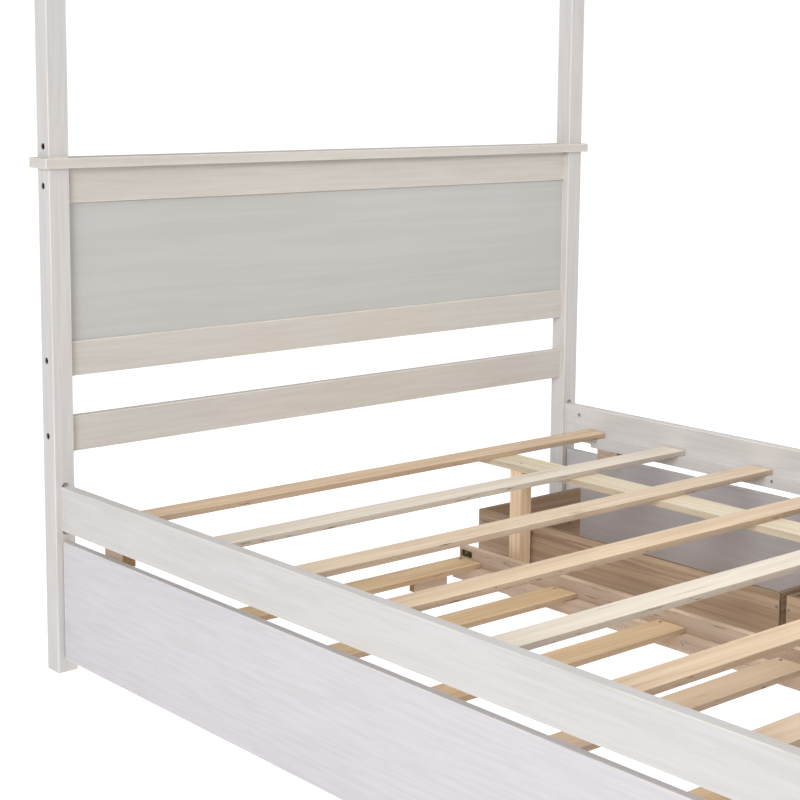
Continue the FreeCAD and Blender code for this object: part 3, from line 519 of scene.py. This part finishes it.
# %% Plywood finish
def plywood(name, along, seed, low, high):
    """Streaked brown veneer, with a paler cut edge and a dark glue line in its middle."""
    material, tree = new_finish(name)
    space = grain_space(tree, along, seed, 0.02)
    fine = noise(tree, space, 340.0, 4.0, 0.65)
    streak = noise(tree, space, 85.0, 4.0, 0.65, 0.3)
    broad = noise(tree, space, 14.0, 2.0, 0.5)
    color = mixed(tree, spread(tree, streak, 0.3, 0.68), tone(142, 116, 94), tone(192, 168, 143))
    color = mixed(tree, spread(tree, broad, 0.35, 0.7, 0.0, 0.5), color, tone(184, 158, 132))
    color = mixed(tree, spread(tree, fine, 0.55, 0.75, 0.0, 0.5), color, tone(104, 82, 66))
    size = [high[i] - low[i] for i in range(3)]
    thin = "xyz"[size.index(min(size))]
    split = add(tree, "ShaderNodeSeparateXYZ", {0: add(tree, "ShaderNodeTexCoord").outputs["Object"]})
    middle = (low[AXES[thin]] + high[AXES[thin]]) / 2
    depth = math_node(tree, "ABSOLUTE", math_node(tree, "SUBTRACT", split.outputs[AXES[thin]], middle))
    core = spread(tree, depth, 0.0012, 0.0022, 1.0, 0.0)
    cut = mixed(tree, core, tone(186, 162, 136), tone(98, 76, 60))
    edge = math_node(tree, "SUBTRACT", 1.0, facing(tree, thin))
    cut = mixed(tree, spread(tree, streak, 0.4, 0.7, 0.0, 0.4), cut, tone(120, 96, 76))
    color = mixed(tree, edge, color, cut)
    surface = finish_off(tree, color, spread(tree, fine, 0.3, 0.7, 0.5, 0.7), fine, 0.0004, 0.4)
    surface.inputs["Specular IOR Level"].default_value = 0.3
    return material


FIRST_PLY_SEED = 401
ply_nodes = sorted(n for n, s in slot_of_node.items() if s == "brown_ply")
for number, name in enumerate(ply_nodes):
    low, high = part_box(name)
    seed = FIRST_PLY_SEED + number
    set_finish(name, plywood("brown_ply_" + name, longest(low, high), seed, low, high))
print("plywood boards:", len(ply_nodes))

# %% [markdown]
# ## Metal and wheels
#
# Screws, nuts and casters are zinc plated steel: a cool grey with the cloudy crystals of the
# plating and fine scratches. The bolts are darker, phosphated steel, and the two catches of the
# trundle are dull brass. The screws keep their exact shape, cross and all. The wheels are black
# moulded plastic, a little dusty from the floor.

# %% Metal and wheel finishes
def zinc(name, base, dark, rough_low=0.28, rough_high=0.5):
    """A dull metal with a cloudy plating, in two tones."""
    material, tree = new_finish(name)
    coords = add(tree, "ShaderNodeTexCoord").outputs["Object"]
    crystals = add(tree, "ShaderNodeTexVoronoi", {"Vector": coords, "Scale": 420.0})
    cell = add(tree, "ShaderNodeSeparateXYZ", {0: crystals.outputs["Color"]}).outputs[0]
    scratch = noise(tree, grain_space(tree, "x", 510, 0.08), 900.0, 3.0, 0.7)
    color = mixed(tree, spread(tree, cell, 0.1, 0.9, 0.0, 1.0), dark, base)
    color = mixed(tree, spread(tree, scratch, 0.6, 0.75, 0.0, 0.4), color, tone(225, 226, 228))
    rough = spread(tree, scratch, 0.3, 0.8, rough_low, rough_high)
    surface = finish_off(tree, color, rough, scratch, 0.0001, 0.3)
    surface.inputs["Metallic"].default_value = 1.0
    return material


def wheel_plastic(name):
    """Black moulded plastic with a thin coat of dust."""
    material, tree = new_finish(name)
    coords = add(tree, "ShaderNodeTexCoord").outputs["Object"]
    grainy = noise(tree, coords, 700.0, 2.0, 0.6)
    dusty = noise(tree, coords, 60.0, 4.0, 0.65)
    color = mixed(tree, spread(tree, grainy, 0.3, 0.7), tone(30, 30, 32), tone(44, 44, 46))
    color = mixed(tree, spread(tree, dusty, 0.5, 0.75, 0.0, 0.45), color, tone(112, 107, 101))
    finish_off(tree, color, spread(tree, dusty, 0.4, 0.7, 0.42, 0.72), grainy, 0.0002, 0.4)
    return material


zinc_plate = zinc("zinc_plate", tone(188, 190, 192), tone(150, 153, 156))
dark_steel = zinc("dark_bolt_steel", tone(96, 92, 88), tone(58, 55, 53), 0.35, 0.55)
black_wheel = wheel_plastic("black_wheel_plastic")
for name, slot_name in slot_of_node.items():
    if slot_name == "zinc_steel":
        set_finish(name, zinc_plate)
    if slot_name == "wheel_black":
        set_finish(name, black_wheel)
set_finish("trundle_catches", zinc("olive_brass_catch", tone(132, 124, 92), tone(84, 80, 60), 0.4, 0.6))
print("metal and plastic finishes:", 4)

# %% [markdown]
# ## Measuring the pieces inside a node
#
# A node such as the seven slats is one mesh of loose triangles. To grow new slats in the same
# places, each slat's own box is needed. A copy of the mesh has its doubles merged, and then the
# faces that hang together are walked as islands.

# %% Islands of a node
SAME_POINT = 1e-5


def islands(node):
    """The box of each separate solid of a node, sorted by its place."""
    work = bmesh.new()
    work.from_mesh(nodes[node].data)
    bmesh.ops.remove_doubles(work, verts=work.verts, dist=SAME_POINT)
    left = set(work.verts)
    boxes = []
    while left:
        stack = [left.pop()]
        found = list(stack)
        while stack:
            for edge in stack.pop().link_edges:
                for vertex in edge.verts:
                    if vertex in left:
                        left.discard(vertex)
                        stack.append(vertex)
                        found.append(vertex)
        low = Vector([min(v.co[i] for v in found) for i in range(3)])
        high = Vector([max(v.co[i] for v in found) for i in range(3)])
        boxes.append((low, high))
    work.free()
    return sorted(boxes, key=lambda box: tuple(round(v, 4) for v in (box[0] + box[1]) / 2))


for name in ("bed_slats", "trundle_slats", "trundle_screws", "frame_bolts"):
    print(name, len(islands(name)))

# %% [markdown]
# ## Growing pieces on points
#
# One helper runs a geometry tree: it makes a mesh with only points, gives each point the
# attributes that the tree reads, sets the tree's inputs by their identifiers, and keeps the
# evaluated result as a plain mesh. The modifier goes away with the helper object.

# %% Grow helper
def start_tree(name, sizes):
    """A new geometry tree with a geometry socket at each side and named inputs."""
    tree = bpy.data.node_groups.new(name, "GeometryNodeTree")
    tree.interface.new_socket(name="Geometry", in_out="INPUT", socket_type="NodeSocketGeometry")
    for label, kind in sizes.items():
        tree.interface.new_socket(name=label, in_out="INPUT", socket_type=kind)
    tree.interface.new_socket(name="Geometry", in_out="OUTPUT", socket_type="NodeSocketGeometry")
    given = tree.nodes.new("NodeGroupInput")
    result = tree.nodes.new("NodeGroupOutput")
    return tree, given.outputs, result.inputs


def grow(name, tree, points, inputs, replaced, attributes=None):
    """Runs a tree on points and rides the result on the body of the node it replaces."""
    cloud = bpy.data.meshes.new(name + "_points")
    cloud.from_pydata([tuple(p) for p in points], [], [])
    for label, (kind, values) in (attributes or {}).items():
        layer = cloud.attributes.new(label, kind, "POINT")
        for item, value in zip(layer.data, values):
            if kind == "FLOAT":
                item.value = value
            else:
                item.vector = value
    source = bpy.data.objects.new(name + "_source", cloud)
    bpy.context.scene.collection.objects.link(source)
    modifier = source.modifiers.new("grow", "NODES")
    modifier.node_group = tree
    for item in tree.interface.items_tree:
        if item.in_out == "INPUT" and item.name in inputs:
            modifier[item.identifier] = inputs[item.name]
    ready = source.evaluated_get(bpy.context.evaluated_depsgraph_get())
    mesh = bpy.data.meshes.new_from_object(ready)
    bpy.data.objects.remove(source)
    piece = bpy.data.objects.new(name, mesh)
    bpy.context.scene.collection.objects.link(piece)
    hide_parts(replaced)
    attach(piece, body_of_node[replaced])
    print(name, len(points), "points,", len(mesh.polygons), "faces")
    return piece


print("helpers:", start_tree.__name__, grow.__name__)

# %% [markdown]
# ## Slats
#
# A slat is a board of one section along a straight line, so the tree sweeps a rectangle with
# rounded corners along a line cut into short steps. The steps let a little noise move the edges,
# as a saw wanders, by less than half a millimetre. The trundle's slats are screwed from above, so
# each screw whose head lies in the slats' top face cuts its own countersink.

# %% Slat tree
SLAT_STEPS = 60
SLAT_EDGE_RADIUS = 0.0014
CORNER_STEPS = 3
SAW_WANDER = 0.0008         # full swing of the noise, so a point moves by less than half of it


def slat_tree():
    """Sweeps a rounded rectangle along each slat, cuts the screw holes and roughens the edges."""
    sizes = {"Length": "NodeSocketFloat", "Width": "NodeSocketFloat", "Thickness": "NodeSocketFloat",
             "Edge Radius": "NodeSocketFloat", "Wander": "NodeSocketFloat", "Seed": "NodeSocketInt",
             "Holes": "NodeSocketObject", "Material": "NodeSocketMaterial"}
    tree, given, result = start_tree("slats", sizes)
    half = math_node(tree, "MULTIPLY", given["Length"], 0.5)
    start = add(tree, "ShaderNodeCombineXYZ", {0: math_node(tree, "MULTIPLY", half, -1.0)}).outputs[0]
    end = add(tree, "ShaderNodeCombineXYZ", {0: half}).outputs[0]
    line = add(tree, "GeometryNodeCurvePrimitiveLine", {"Start": start, "End": end}).outputs[0]
    line = add(tree, "GeometryNodeResampleCurve", {"Curve": line, "Count": SLAT_STEPS}).outputs[0]
    line = add(tree, "GeometryNodeSetCurveNormal", {"Curve": line}, mode="Z_UP").outputs[0]
    oblong = {"Width": given["Width"], "Height": given["Thickness"]}
    section = add(tree, "GeometryNodeCurvePrimitiveQuadrilateral", oblong)
    corner = {"Curve": section.outputs[0], "Radius": given["Edge Radius"], "Count": CORNER_STEPS}
    section = add(tree, "GeometryNodeFilletCurve", corner, mode="POLY").outputs[0]
    swept = {"Curve": line, "Profile Curve": section, "Fill Caps": True}
    board = add(tree, "GeometryNodeCurveToMesh", swept).outputs[0]
    boards = {"Points": given["Geometry"], "Instance": board}
    boards = add(tree, "GeometryNodeInstanceOnPoints", boards).outputs[0]
    chance = add(tree, "FunctionNodeRandomValue", {"Seed": given["Seed"]}, data_type="FLOAT")
    chance = [s for s in chance.outputs if s.type == "VALUE"][0]
    store = "GeometryNodeStoreNamedAttribute"
    boards = {"Geometry": boards, "Name": "board", "Value": chance}
    boards = add(tree, store, boards, data_type="FLOAT", domain="INSTANCE").outputs[0]
    boards = add(tree, "GeometryNodeRealizeInstances", {0: boards}).outputs[0]
    holes = add(tree, "GeometryNodeObjectInfo", {"Object": given["Holes"]}, transform_space="RELATIVE")
    cut = add(tree, "GeometryNodeMeshBoolean", operation="DIFFERENCE", solver="EXACT")
    tree.links.new(boards, cut.inputs["Mesh 1"])
    tree.links.new(holes.outputs["Geometry"], cut.inputs["Mesh 2"])
    seed = math_node(tree, "MULTIPLY", given["Seed"], 1.0)
    wave = {"Scale": 9.0, "Detail": 3.0, "Roughness": 0.55, "W": seed}
    wave = add(tree, "ShaderNodeTexNoise", wave, noise_dimensions="4D").outputs["Color"]
    push = vector_node(tree, "SUBTRACT", wave, (0.5, 0.5, 0.5))
    amount = add(tree, "ShaderNodeCombineXYZ", {1: given["Wander"], 2: given["Wander"]}).outputs[0]
    push = vector_node(tree, "MULTIPLY", push, amount)
    moved = add(tree, "GeometryNodeSetPosition", {"Geometry": cut.outputs[0], "Offset": push}).outputs[0]
    painted = {"Geometry": moved, "Material": given["Material"]}
    painted = add(tree, "GeometryNodeSetMaterial", painted).outputs[0]
    tree.links.new(painted, result["Geometry"])
    return tree


SLATS = slat_tree()
print("tree:", SLATS.name, len(SLATS.nodes), "nodes")

# %% [markdown]
# A countersink could be drawn into the slat's section, but a screw sits at one spot only. So the
# holes are short plugs that the tree takes away from the boards. The bed's own slats are screwed
# from below and get none.

# %% Screw holes for the slats
SCREW_HEAD_RADIUS = 0.004
HOLE_ROOM = 0.0002          # round the head
HOLE_DEEP = 0.0025
CUT_OVERRUN = 0.002         # the plug stands proud, so that the cut is clean
PLUG_SIDES = 12
FLUSH = 0.001               # a screw top this near the slats' top face is set into it


def hole_cutters(name, spots, radius, deep):
    """One object with a short twelve-sided plug at each screw, to be cut out of the slats."""
    work = bmesh.new()
    for spot in spots:
        place = Matrix.Translation((spot[0], spot[1], spot[2] - deep / 2 + CUT_OVERRUN))
        bmesh.ops.create_cone(work, cap_ends=True, segments=PLUG_SIDES, radius1=radius, radius2=radius,
                              depth=deep + 2 * CUT_OVERRUN, matrix=place)
    mesh = bpy.data.meshes.new(name)
    work.to_mesh(mesh)
    work.free()
    cutters = bpy.data.objects.new(name, mesh)
    bpy.context.scene.collection.objects.link(cutters)
    return cutters


def grow_slats(node, screws, material, seed, pale):
    """Slats in place of a node's slats, with the screw holes of another node's screws."""
    boxes = islands(node)
    size = boxes[0][1] - boxes[0][0]
    tops = [((a[0] + b[0]) / 2, (a[1] + b[1]) / 2, b[2]) for a, b in islands(screws)]
    top = boxes[0][1][2]
    spots = [t for t in tops if abs(t[2] - top) < FLUSH]
    cutters = hole_cutters(node + "_holes", spots, SCREW_HEAD_RADIUS + HOLE_ROOM, HOLE_DEEP)
    inputs = {"Length": size[0], "Width": size[1] - SAW_WANDER, "Thickness": size[2] - SAW_WANDER,
              "Edge Radius": SLAT_EDGE_RADIUS, "Wander": SAW_WANDER, "Seed": seed,
              "Holes": cutters, "Material": material}
    middles = [(a + b) / 2 for a, b in boxes]
    piece = grow(node + "_sawn", SLATS, middles, inputs, node)
    bpy.data.objects.remove(cutters)
    mesh = piece.data
    layer = mesh.attributes.new("pale", "FLOAT", "POINT")
    for vertex in mesh.vertices:
        nearest = min(range(len(boxes)), key=lambda i: abs(middles[i][1] - vertex.co[1]))
        layer.data[vertex.index].value = pale[nearest]


PALE_SLATS = (0.1, 0.0, 0.95, 0.1, 0.25, 1.0, 0.0)      # from the foot to the head
PALE_TRAY_SLATS = (0.0, 0.3, 0.1, 0.9, 0.2, 0.1, 0.0)
grow_slats("bed_slats", "support_screws", wood_slats, 3, PALE_SLATS)
grow_slats("trundle_slats", "trundle_screws", wood_tray, 8, PALE_TRAY_SLATS)

# %% [markdown]
# ## Bolts
#
# A socket bolt is a cylinder with a six-sided recess. The cut is a boolean inside the tree, made
# once and then placed on every point, so it costs little. Each point carries the direction that
# its bolt's head faces and the length of its shank.

# %% Bolt tree
BOLT_HEAD_RADIUS = 0.007
BOLT_HEAD_LONG = 0.005
BOLT_SHANK_RADIUS = 0.003
HEX_KEY_RADIUS = 0.0034
KEY_LIFT = 0.45             # of the head's length
BOLT_SIDES, KEY_SIDES, SHANK_SIDES = 24, 6, 16


def bolt_tree():
    """A head with a six-sided recess and a shank, turned and stretched by the point's attributes."""
    sizes = {"Head Radius": "NodeSocketFloat", "Head Length": "NodeSocketFloat",
             "Shank Radius": "NodeSocketFloat", "Key Size": "NodeSocketFloat",
             "Material": "NodeSocketMaterial"}
    tree, given, result = start_tree("socket_bolts", sizes)
    head = {"Vertices": BOLT_SIDES, "Radius": given["Head Radius"], "Depth": given["Head Length"]}
    head = add(tree, "GeometryNodeMeshCylinder", head).outputs["Mesh"]
    key = {"Vertices": KEY_SIDES, "Radius": given["Key Size"], "Depth": given["Head Length"]}
    key = add(tree, "GeometryNodeMeshCylinder", key).outputs["Mesh"]
    lift = math_node(tree, "MULTIPLY", given["Head Length"], KEY_LIFT)
    lift = add(tree, "ShaderNodeCombineXYZ", {2: lift}).outputs[0]
    key = add(tree, "GeometryNodeTransform", {"Geometry": key, "Translation": lift}).outputs[0]
    cut = add(tree, "GeometryNodeMeshBoolean", operation="DIFFERENCE", solver="EXACT")
    tree.links.new(head, cut.inputs["Mesh 1"])
    tree.links.new(key, cut.inputs["Mesh 2"])
    shank = {"Vertices": SHANK_SIDES, "Radius": given["Shank Radius"], "Depth": 1.0}
    shank = add(tree, "GeometryNodeMeshCylinder", shank).outputs["Mesh"]
    shank = {"Geometry": shank, "Translation": (0, 0, -0.5)}
    shank = add(tree, "GeometryNodeTransform", shank).outputs[0]
    named = "GeometryNodeInputNamedAttribute"
    turn = add(tree, named, {"Name": "turn"}, data_type="FLOAT_VECTOR").outputs["Attribute"]
    reach = add(tree, named, {"Name": "reach"}, data_type="FLOAT").outputs["Attribute"]
    scale = add(tree, "ShaderNodeCombineXYZ", {0: 1.0, 1: 1.0, 2: reach}).outputs[0]
    heads = {"Points": given["Geometry"], "Instance": cut.outputs[0], "Rotation": turn}
    heads = add(tree, "GeometryNodeInstanceOnPoints", heads).outputs[0]
    shanks = {"Points": given["Geometry"], "Instance": shank, "Rotation": turn, "Scale": scale}
    shanks = add(tree, "GeometryNodeInstanceOnPoints", shanks).outputs[0]
    whole = add(tree, "GeometryNodeJoinGeometry")
    tree.links.new(heads, whole.inputs[0])
    tree.links.new(shanks, whole.inputs[0])
    real = add(tree, "GeometryNodeRealizeInstances", {0: whole.outputs[0]}).outputs[0]
    painted = {"Geometry": real, "Material": given["Material"]}
    painted = add(tree, "GeometryNodeSetMaterial", painted).outputs[0]
    tree.links.new(painted, result["Geometry"])
    return tree


BOLTS = bolt_tree()
print("tree:", BOLTS.name, len(BOLTS.nodes), "nodes")


def grow_bolts(node):
    """Bolts in place of the frame's bolts, with their heads towards the outside of the bed."""
    places, turns, reaches = [], [], []
    for low, high in islands(node):
        size = high - low
        axis = max((0, 1), key=lambda i: size[i])
        middle = (low + high) / 2
        out = 1.0 if middle[axis] > 0 else -1.0
        direction = Vector((0, 0, 0))
        direction[axis] = out
        head = middle.copy()
        head[axis] = (high if out > 0 else low)[axis] - out * BOLT_HEAD_LONG / 2
        places.append(head)
        turns.append(tuple(direction.to_track_quat("Z", "Y").to_euler()))
        reaches.append(size[axis] - BOLT_HEAD_LONG / 2)
    inputs = {"Head Radius": BOLT_HEAD_RADIUS, "Head Length": BOLT_HEAD_LONG,
              "Shank Radius": BOLT_SHANK_RADIUS, "Key Size": HEX_KEY_RADIUS, "Material": dark_steel}
    attributes = {"turn": ("FLOAT_VECTOR", turns), "reach": ("FLOAT", reaches)}
    grow(node + "_socket", BOLTS, places, inputs, node, attributes)


grow_bolts("frame_bolts")

# %% [markdown]
# ## Wheels
#
# A caster wheel is a lathe shape: a tread with rounded shoulders, a dished web and a hub that
# stands out to meet the fork. Spinning a section gives that in a few rings. The wheel is made
# once for each line of wheels and placed on the axle points by a short tree.

# %% Wheel section and tree
WHEEL_STEPS = 48
SHARP_FROM = 40             # degrees between two faces
HUB_WALL = 0.0022
HUB_FOOT = 0.0026           # where the hub's side meets the web
SHOULDER = 0.0016
AXLE_RADIUS = 0.0033


def wheel_shape(name, radius, wide, bore):
    """One wheel about its own middle, axle along Y, as a spun section of closed rings."""
    half = wide / 2
    section = [(bore, -half), (bore + HUB_WALL, -half), (bore + HUB_FOOT, -half * 0.55),
               (radius * 0.70, -half * 0.50), (radius * 0.76, -half * 0.92),
               (radius - SHOULDER, -half), (radius - 0.0005, -half + 0.0007), (radius, -half + 0.002)]
    section = section + [(r, -y) for r, y in reversed(section)]
    work = bmesh.new()
    loops = []
    for step in range(WHEEL_STEPS):
        angle = 2 * math.pi * step / WHEEL_STEPS
        loops.append([work.verts.new((r * math.cos(angle), y, r * math.sin(angle))) for r, y in section])
    count = len(section)
    for step in range(WHEEL_STEPS):
        a, b = loops[step], loops[(step + 1) % WHEEL_STEPS]
        for i in range(count):
            j = (i + 1) % count
            work.faces.new((a[i], a[j], b[j], b[i]))
    bmesh.ops.recalc_face_normals(work, faces=work.faces)
    for face in work.faces:
        face.smooth = True
    mesh = bpy.data.meshes.new(name)
    work.to_mesh(mesh)
    work.free()
    mesh.set_sharp_from_angle(angle=math.radians(SHARP_FROM))
    return mesh


def wheel_tree():
    """Places one ready wheel on every axle point."""
    sizes = {"Wheel": "NodeSocketObject", "Material": "NodeSocketMaterial"}
    tree, given, result = start_tree("wheels", sizes)
    shape = add(tree, "GeometryNodeObjectInfo", {"Object": given["Wheel"]}, transform_space="ORIGINAL")
    placed = {"Points": given["Geometry"], "Instance": shape.outputs["Geometry"]}
    placed = add(tree, "GeometryNodeInstanceOnPoints", placed).outputs[0]
    real = add(tree, "GeometryNodeRealizeInstances", {0: placed}).outputs[0]
    painted = {"Geometry": real, "Material": given["Material"]}
    painted = add(tree, "GeometryNodeSetMaterial", painted).outputs[0]
    tree.links.new(painted, result["Geometry"])
    return tree


WHEELS = wheel_tree()
wheel_nodes = sorted(n for n, s in slot_of_node.items() if s == "wheel_black")
for name in wheel_nodes:
    boxes = islands(name)
    size = boxes[0][1] - boxes[0][0]
    lathed = wheel_shape(name + "_shape", size[2] / 2, size[1], AXLE_RADIUS)
    shape = bpy.data.objects.new("wheel_shape", lathed)
    bpy.context.scene.collection.objects.link(shape)
    axles = [(a + b) / 2 for a, b in boxes]
    grow(name + "_spun", WHEELS, axles, {"Wheel": shape, "Material": black_wheel}, name)
    bpy.data.objects.remove(shape)

# %% [markdown]
# ## Floor and light
#
# A furniture studio is a white floor that runs into a white wall, with large soft lamps. A huge
# floor under an even white sky gives that without a seam. The floor glows, which also carries
# light in under the bed, so the tray and the drawers stay readable between the slats. It glows a
# little more for the eye than for the bed, to stay white where the bed shades it.

# %% Floor
FLOOR_HALF = 40.0
FLOOR_GLOW = 0.70
FLOOR_GLOW_SEEN = 0.95
FLOOR_DARK, FLOOR_LIGHT = (0.38, 0.38, 0.38, 1), (0.41, 0.41, 0.41, 1)


def floor_finish():
    """A cloudy pale floor that glows."""
    material, tree = new_finish("studio_floor_white")
    cloud = noise(tree, add(tree, "ShaderNodeTexCoord").outputs["Object"], 1.5, 2.0)
    color = mixed(tree, cloud, FLOOR_DARK, FLOOR_LIGHT)
    surface = finish_off(tree, color, 0.9, cloud, 0.0001, 0.1)
    surface.inputs["Specular IOR Level"].default_value = 0.1
    surface.inputs["Emission Color"].default_value = (1, 1, 1, 1)
    seen = add(tree, "ShaderNodeLightPath").outputs["Is Camera Ray"]
    glow = spread(tree, seen, 0.0, 1.0, FLOOR_GLOW, FLOOR_GLOW_SEEN)
    tree.links.new(glow, surface.inputs["Emission Strength"])
    return material


floor_mesh = bpy.data.meshes.new("studio_floor")
corners = [(x * FLOOR_HALF, y * FLOOR_HALF, 0) for x, y in ((-1, -1), (1, -1), (1, 1), (-1, 1))]
floor_mesh.from_pydata(corners, [], [(0, 1, 2, 3)])
floor_mesh.materials.append(floor_finish())
floor = bpy.data.objects.new("studio_floor", floor_mesh)
bpy.context.scene.collection.objects.link(floor)
floor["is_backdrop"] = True
print("floor:", 2 * FLOOR_HALF, "m wide")


# %% [markdown]
# One broad lamp stands on the trundle side and one above. A third stands at the corner between
# the foot and the trundle side: it shines in between the slats, as a fill light does. A small one
# hangs in the canopy and reaches the inner faces of the far rail and of the drawers. The last one
# keeps the drawer side and the back from going grey. The sky is an even white, brighter to the
# eye than to the bed.

# %% Lamps and sky
def lamp(name, place, target, size, power, color):
    """A square soft lamp that points at a target."""
    light = bpy.data.lights.new(name, "AREA")
    light.size = size
    light.energy = power
    light.color = color
    holder = bpy.data.objects.new(name, light)
    holder.location = place
    holder.visible_camera = False
    holder.rotation_mode = "QUATERNION"
    holder.rotation_quaternion = (Vector(target) - Vector(place)).to_track_quat("-Z", "Y")
    bpy.context.scene.collection.objects.link(holder)


SKY = 0.36
SKY_SEEN = 1.05
WHITE_LIGHT, TOP_LIGHT = (1.0, 1.0, 1.0), (1.0, 0.99, 0.97)
lamp("side_lamp", (-6.0, -1.5, 3.2), (0, 0, 0.5), 3.5, 80.0, WHITE_LIGHT)
lamp("top_lamp", (0.5, -0.5, 5.0), (0, 0, 0), 4.0, 55.0, TOP_LIGHT)
lamp("corner_lamp", (-7.4, -4.8, 3.4), (0, 0, 0.4), 3.0, 315.0, WHITE_LIGHT)
lamp("canopy_lamp", (-0.2, -0.3, 1.65), (0.8, -0.15, 0.25), 0.6, 7.5, WHITE_LIGHT)
lamp("far_lamp", (6.5, 4.5, 3.0), (0, 0, 0.5), 3.0, 45.0, WHITE_LIGHT)

world = bpy.data.worlds.new("studio_sky")
world.use_nodes = True
world.node_tree.nodes.clear()
sky = world.node_tree
seen = add(sky, "ShaderNodeLightPath").outputs["Is Camera Ray"]
strength = spread(sky, seen, 0.0, 1.0, SKY, SKY_SEEN)
shine = add(sky, "ShaderNodeBackground", {"Color": (1.0, 1.0, 1.0, 1.0), "Strength": strength})
add(sky, "ShaderNodeOutputWorld", {0: shine.outputs[0]})
bpy.context.scene.world = world
bpy.context.scene.view_settings.view_transform = "Standard"
print("sky:", SKY)

# %% Sizes
low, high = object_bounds()
print("visual box:", [round(v, 4) for v in high - low])
